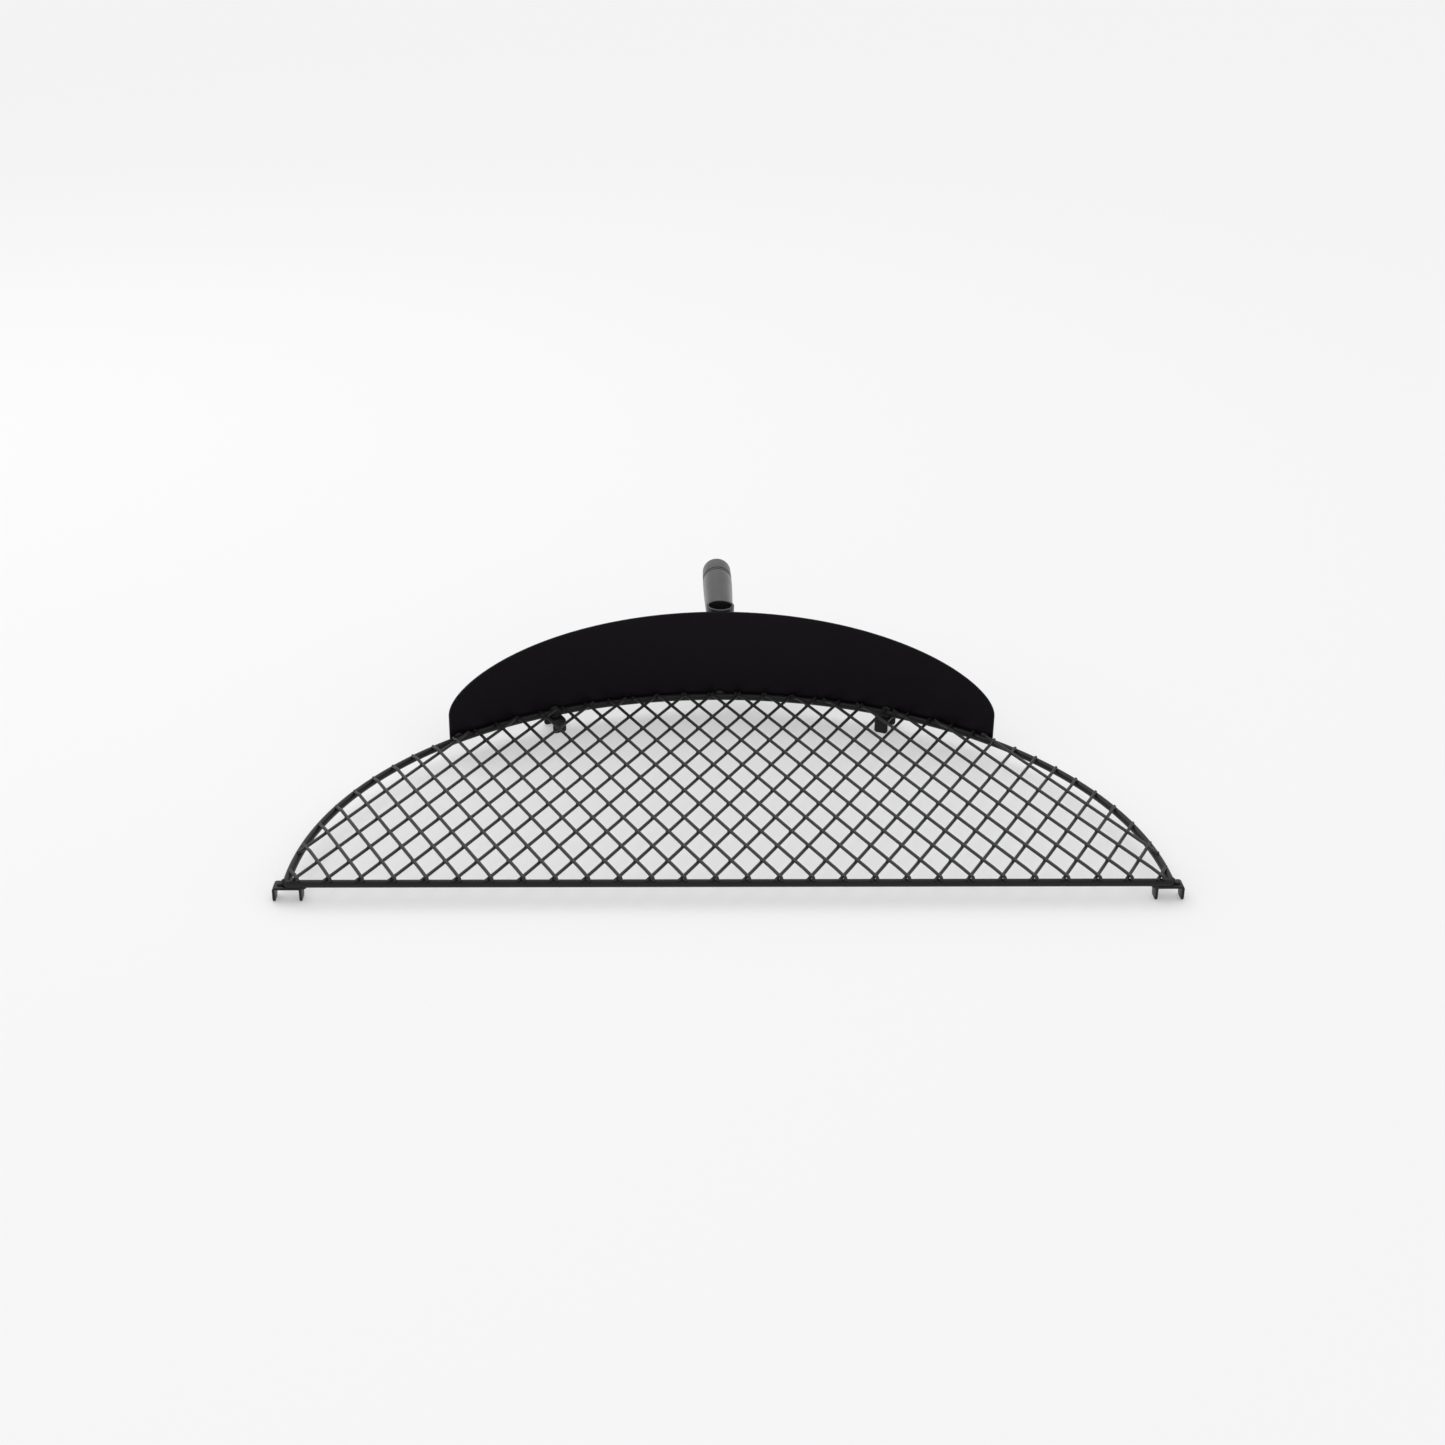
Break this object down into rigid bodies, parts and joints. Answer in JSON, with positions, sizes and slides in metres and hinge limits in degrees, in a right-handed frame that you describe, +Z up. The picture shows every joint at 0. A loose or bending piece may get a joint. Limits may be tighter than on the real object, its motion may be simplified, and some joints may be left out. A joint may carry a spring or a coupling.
{
  "type": "fire bowl cooking grate with windshield",
  "caption": "Half-round welded mesh cooking grate with rim saddles, a curved windshield, an upright socket tube and a rear handle.",
  "frame": {"origin": "middle of the footprint, on the surface that the saddle legs stand on", "axes": "+Z up, +X to the right of a cook who stands at the straight front bar, +Y away from the cook, towards the handle"},
  "size_m": [0.686, 0.4805, 0.0965],
  "materials": {
    "frame_black": "satin black heat-resistant coating on steel rod and strip",
    "mesh_black": "satin black heat-resistant coating on steel wire",
    "panel_black": "smooth satin black coating on sheet steel",
    "weld_black": "coated weld metal with a lumpy surface",
    "grip_plastic": "semi-gloss black moulded plastic",
    "plated_steel": "zinc-plated steel"
  },
  "bodies": {
    "root": {"rim_hoop": "frame_black", "front_bar": "frame_black", "saddle_front_left": "frame_black", "saddle_front_right": "frame_black", "saddle_rear_left": "frame_black", "saddle_rear_right": "frame_black", "mesh_wires_lower": "mesh_black", "mesh_wires_upper": "mesh_black", "windshield_panel": "panel_black", "socket_tube": "frame_black", "handle_rod": "plated_steel", "handle_collar": "frame_black", "handle_grip": "grip_plastic", "handle_ring": "grip_plastic", "handle_end_cap": "grip_plastic", "handle_washer": "plated_steel", "handle_nut": "plated_steel", "panel_weld_beads": "weld_black", "saddle_weld_beads": "weld_black", "corner_weld_beads": "weld_black", "socket_weld_beads": "weld_black"}
  },
  "joints": []
}
